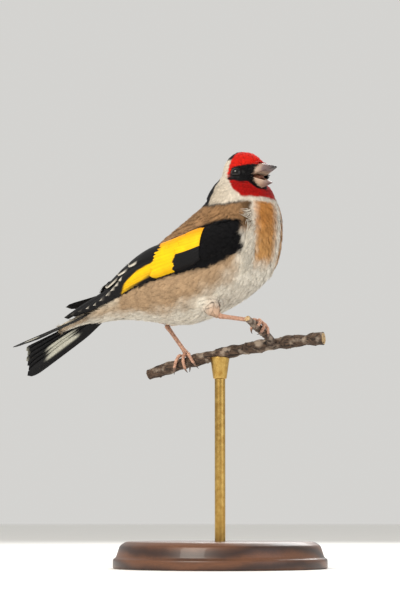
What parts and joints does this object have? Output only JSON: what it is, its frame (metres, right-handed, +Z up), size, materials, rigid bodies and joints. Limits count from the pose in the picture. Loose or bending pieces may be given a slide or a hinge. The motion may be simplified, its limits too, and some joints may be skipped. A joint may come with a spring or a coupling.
{
  "type": "european goldfinch model",
  "caption": "Life-size still model of a european goldfinch gripping a short cut branch, head turned aside and bill a little open, on a round base with one rod.",
  "frame": {"origin": "centre of the stand base's underside, on the table", "axes": "+Z up; +X towards the picture's right, which is roughly the way the bird faces; +Y away from the picture's camera"},
  "size_m": [0.1185, 0.08, 0.1552],
  "materials": {
    "plumage_head": "overlapping feathers, red face, black cap and off-white cheek",
    "plumage_body": "overlapping feathers, brown back and flank patches on off-white",
    "plumage_wing": "black feathers with a yellow band and pale tips",
    "plumage_tail": "black feathers with white spots",
    "bill": "satin horn, dark towards the tip",
    "eye": "dark brown, wet gloss",
    "leg": "pinkish scutes",
    "claw": "dark horn",
    "bark": "rough grey-brown bark",
    "stand_wood": "turned and oiled",
    "stand_metal": "satin brass"
  },
  "bodies": {
    "root": {"head": "plumage_head", "neck": "plumage_head", "trunk": "plumage_body", "rump": "plumage_body", "thigh_right": "plumage_body", "thigh_left": "plumage_body", "wing_right": "plumage_wing", "wing_left": "plumage_wing", "quills_right": "plumage_wing", "quills_left": "plumage_wing", "tail_right": "plumage_tail", "tail_left": "plumage_tail", "bill_upper": "bill", "bill_lower": "bill", "eye_right": "eye", "eye_left": "eye", "shank_right": "leg", "shank_left": "leg", "toe_inner_right": "leg", "toe_middle_right": "leg", "toe_outer_right": "leg", "toe_hind_right": "leg", "toe_inner_left": "leg", "toe_middle_left": "leg", "toe_outer_left": "leg", "toe_hind_left": "leg", "claw_inner_right": "claw", "claw_middle_right": "claw", "claw_outer_right": "claw", "claw_hind_right": "claw", "claw_inner_left": "claw", "claw_middle_left": "claw", "claw_outer_left": "claw", "claw_hind_left": "claw", "perch": "bark", "perch_twig": "bark", "stand_base": "stand_wood", "stand_rod": "stand_metal", "stand_ferrule": "stand_metal"}
  },
  "joints": []
}
